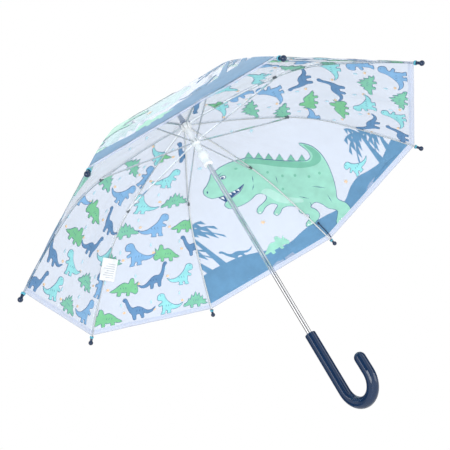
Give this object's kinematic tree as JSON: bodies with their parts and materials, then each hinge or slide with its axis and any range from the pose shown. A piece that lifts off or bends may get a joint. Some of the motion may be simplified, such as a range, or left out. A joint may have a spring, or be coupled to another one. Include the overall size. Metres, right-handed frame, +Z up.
{
  "type": "children's umbrella",
  "caption": "Child-size stick umbrella, open, with a translucent printed film canopy on steel ribs, a chrome shaft and a J-shaped handle.",
  "frame": {"origin": "centre of the straight grip of the handle, on the shaft axis", "axes": "+Z up the shaft towards the ferrule; +X along rib 1; the hook points 21 degrees from +X towards +Y"},
  "size_m": [0.7382, 0.7382, 0.5938],
  "materials": {
    "shaft_chrome": "polished",
    "rib_steel": "bright plated",
    "navy_plastic": "glossy moulded",
    "white_plastic": "glossy moulded",
    "clip_plastic": "moulded",
    "canopy_film": "frosted translucent film, printed",
    "label_satin": "satin tape"
  },
  "bodies": {
    "shaft_group": {"shaft": "shaft_chrome", "handle": "navy_plastic", "crown": "white_plastic", "crown_pin": "rib_steel", "crown_wire": "rib_steel", "stop_sleeve": "white_plastic", "ferrule_cap": "navy_plastic", "ferrule": "navy_plastic"},
    "runner_group": {"runner": "white_plastic", "runner_wire": "rib_steel"},
    "top_catch_spring": {"top_catch": "rib_steel"},
    "bottom_catch_spring": {"bottom_catch": "rib_steel"},
    "rib_group_1": {"rib_1": "rib_steel", "rib_clip_1": "clip_plastic", "rib_tip_1": "navy_plastic", "canopy_panel_1": "canopy_film"},
    "stretcher_group_1": {"stretcher_1": "rib_steel"},
    "rib_group_2": {"rib_2": "rib_steel", "rib_clip_2": "clip_plastic", "rib_tip_2": "navy_plastic", "canopy_panel_2": "canopy_film"},
    "stretcher_group_2": {"stretcher_2": "rib_steel"},
    "rib_group_3": {"rib_3": "rib_steel", "rib_clip_3": "clip_plastic", "rib_tip_3": "navy_plastic", "canopy_panel_3": "canopy_film"},
    "stretcher_group_3": {"stretcher_3": "rib_steel"},
    "rib_group_4": {"rib_4": "rib_steel", "rib_clip_4": "clip_plastic", "rib_tip_4": "navy_plastic", "canopy_panel_4": "canopy_film"},
    "stretcher_group_4": {"stretcher_4": "rib_steel"},
    "rib_group_5": {"rib_5": "rib_steel", "rib_clip_5": "clip_plastic", "rib_tip_5": "navy_plastic", "canopy_panel_5": "canopy_film"},
    "stretcher_group_5": {"stretcher_5": "rib_steel"},
    "rib_group_6": {"rib_6": "rib_steel", "rib_clip_6": "clip_plastic", "rib_tip_6": "navy_plastic", "canopy_panel_6": "canopy_film", "care_label": "label_satin"},
    "stretcher_group_6": {"stretcher_6": "rib_steel"},
    "rib_group_7": {"rib_7": "rib_steel", "rib_clip_7": "clip_plastic", "rib_tip_7": "navy_plastic", "canopy_panel_7": "canopy_film"},
    "stretcher_group_7": {"stretcher_7": "rib_steel"},
    "rib_group_8": {"rib_8": "rib_steel", "rib_clip_8": "clip_plastic", "rib_tip_8": "navy_plastic", "canopy_panel_8": "canopy_film"},
    "stretcher_group_8": {"stretcher_8": "rib_steel"}
  },
  "joints": [
    {"name": "runner_slide", "type": "slide", "parent": "shaft_group", "child": "runner_group", "axis": [0, 0, -1], "range_m": [0, 0.2944]},
    {"name": "rib_hinge_1", "type": "hinge", "parent": "shaft_group", "child": "rib_group_1", "pos_m": [0.007, 0, 0.4705], "axis": [0, 1, 0], "range_deg": [0, 59], "deforming": ["canopy_panel_1"]},
    {"name": "stretcher_hinge_1", "type": "hinge", "parent": "runner_group", "child": "stretcher_group_1", "pos_m": [0.006, 0, 0.4335], "axis": [0, 1, 0], "range_deg": [-77.63, 0]},
    {"name": "rib_hinge_2", "type": "hinge", "parent": "shaft_group", "child": "rib_group_2", "pos_m": [0.00495, 0.00495, 0.4705], "axis": [-0.7071, 0.7071, 0], "range_deg": [0, 59], "deforming": ["canopy_panel_2"]},
    {"name": "stretcher_hinge_2", "type": "hinge", "parent": "runner_group", "child": "stretcher_group_2", "pos_m": [0.00424, 0.00424, 0.4335], "axis": [-0.7071, 0.7071, 0], "range_deg": [-77.63, 0]},
    {"name": "rib_hinge_3", "type": "hinge", "parent": "shaft_group", "child": "rib_group_3", "pos_m": [0, 0.007, 0.4705], "axis": [-1, 0, 0], "range_deg": [0, 59], "deforming": ["canopy_panel_3"]},
    {"name": "stretcher_hinge_3", "type": "hinge", "parent": "runner_group", "child": "stretcher_group_3", "pos_m": [0, 0.006, 0.4335], "axis": [-1, 0, 0], "range_deg": [-77.63, 0]},
    {"name": "rib_hinge_4", "type": "hinge", "parent": "shaft_group", "child": "rib_group_4", "pos_m": [-0.00495, 0.00495, 0.4705], "axis": [-0.7071, -0.7071, 0], "range_deg": [0, 59], "deforming": ["canopy_panel_4"]},
    {"name": "stretcher_hinge_4", "type": "hinge", "parent": "runner_group", "child": "stretcher_group_4", "pos_m": [-0.00424, 0.00424, 0.4335], "axis": [-0.7071, -0.7071, 0], "range_deg": [-77.63, 0]},
    {"name": "rib_hinge_5", "type": "hinge", "parent": "shaft_group", "child": "rib_group_5", "pos_m": [-0.007, 0, 0.4705], "axis": [0, -1, 0], "range_deg": [0, 59], "deforming": ["canopy_panel_5"]},
    {"name": "stretcher_hinge_5", "type": "hinge", "parent": "runner_group", "child": "stretcher_group_5", "pos_m": [-0.006, 0, 0.4335], "axis": [0, -1, 0], "range_deg": [-77.63, 0]},
    {"name": "rib_hinge_6", "type": "hinge", "parent": "shaft_group", "child": "rib_group_6", "pos_m": [-0.00495, -0.00495, 0.4705], "axis": [0.7071, -0.7071, 0], "range_deg": [0, 59], "deforming": ["canopy_panel_6", "care_label"]},
    {"name": "stretcher_hinge_6", "type": "hinge", "parent": "runner_group", "child": "stretcher_group_6", "pos_m": [-0.00424, -0.00424, 0.4335], "axis": [0.7071, -0.7071, 0], "range_deg": [-77.63, 0]},
    {"name": "rib_hinge_7", "type": "hinge", "parent": "shaft_group", "child": "rib_group_7", "pos_m": [0, -0.007, 0.4705], "axis": [1, 0, 0], "range_deg": [0, 59], "deforming": ["canopy_panel_7"]},
    {"name": "stretcher_hinge_7", "type": "hinge", "parent": "runner_group", "child": "stretcher_group_7", "pos_m": [0, -0.006, 0.4335], "axis": [1, 0, 0], "range_deg": [-77.63, 0]},
    {"name": "rib_hinge_8", "type": "hinge", "parent": "shaft_group", "child": "rib_group_8", "pos_m": [0.00495, -0.00495, 0.4705], "axis": [0.7071, 0.7071, 0], "range_deg": [0, 59], "deforming": ["canopy_panel_8"]},
    {"name": "stretcher_hinge_8", "type": "hinge", "parent": "runner_group", "child": "stretcher_group_8", "pos_m": [0.00424, -0.00424, 0.4335], "axis": [0.7071, 0.7071, 0], "range_deg": [-77.63, 0]},
    {"name": "top_catch_press", "type": "hinge", "parent": "shaft_group", "child": "top_catch_spring", "pos_m": [0.00176, -0.00073, 0.353], "axis": [-0.3827, -0.9239, 0], "range_deg": [-2.6, 0], "stiffness_Nm_per_rad": 0.004, "springref_deg": 5.73},
    {"name": "bottom_catch_press", "type": "hinge", "parent": "shaft_group", "child": "bottom_catch_spring", "pos_m": [0.00176, -0.00073, 0.1215], "axis": [-0.3827, -0.9239, 0], "range_deg": [0, 2.6], "stiffness_Nm_per_rad": 0.004, "springref_deg": -5.73}
  ],
  "couplings": [
    {"joint": "rib_hinge_1", "follows": "runner_slide", "rad_per_m": 3.4978},
    {"joint": "stretcher_hinge_1", "follows": "runner_slide", "rad_per_m": -4.6022},
    {"joint": "rib_hinge_2", "follows": "runner_slide", "rad_per_m": 3.4978},
    {"joint": "stretcher_hinge_2", "follows": "runner_slide", "rad_per_m": -4.6022},
    {"joint": "rib_hinge_3", "follows": "runner_slide", "rad_per_m": 3.4978},
    {"joint": "stretcher_hinge_3", "follows": "runner_slide", "rad_per_m": -4.6022},
    {"joint": "rib_hinge_4", "follows": "runner_slide", "rad_per_m": 3.4978},
    {"joint": "stretcher_hinge_4", "follows": "runner_slide", "rad_per_m": -4.6022},
    {"joint": "rib_hinge_5", "follows": "runner_slide", "rad_per_m": 3.4978},
    {"joint": "stretcher_hinge_5", "follows": "runner_slide", "rad_per_m": -4.6022},
    {"joint": "rib_hinge_6", "follows": "runner_slide", "rad_per_m": 3.4978},
    {"joint": "stretcher_hinge_6", "follows": "runner_slide", "rad_per_m": -4.6022},
    {"joint": "rib_hinge_7", "follows": "runner_slide", "rad_per_m": 3.4978},
    {"joint": "stretcher_hinge_7", "follows": "runner_slide", "rad_per_m": -4.6022},
    {"joint": "rib_hinge_8", "follows": "runner_slide", "rad_per_m": 3.4978},
    {"joint": "stretcher_hinge_8", "follows": "runner_slide", "rad_per_m": -4.6022}
  ]
}
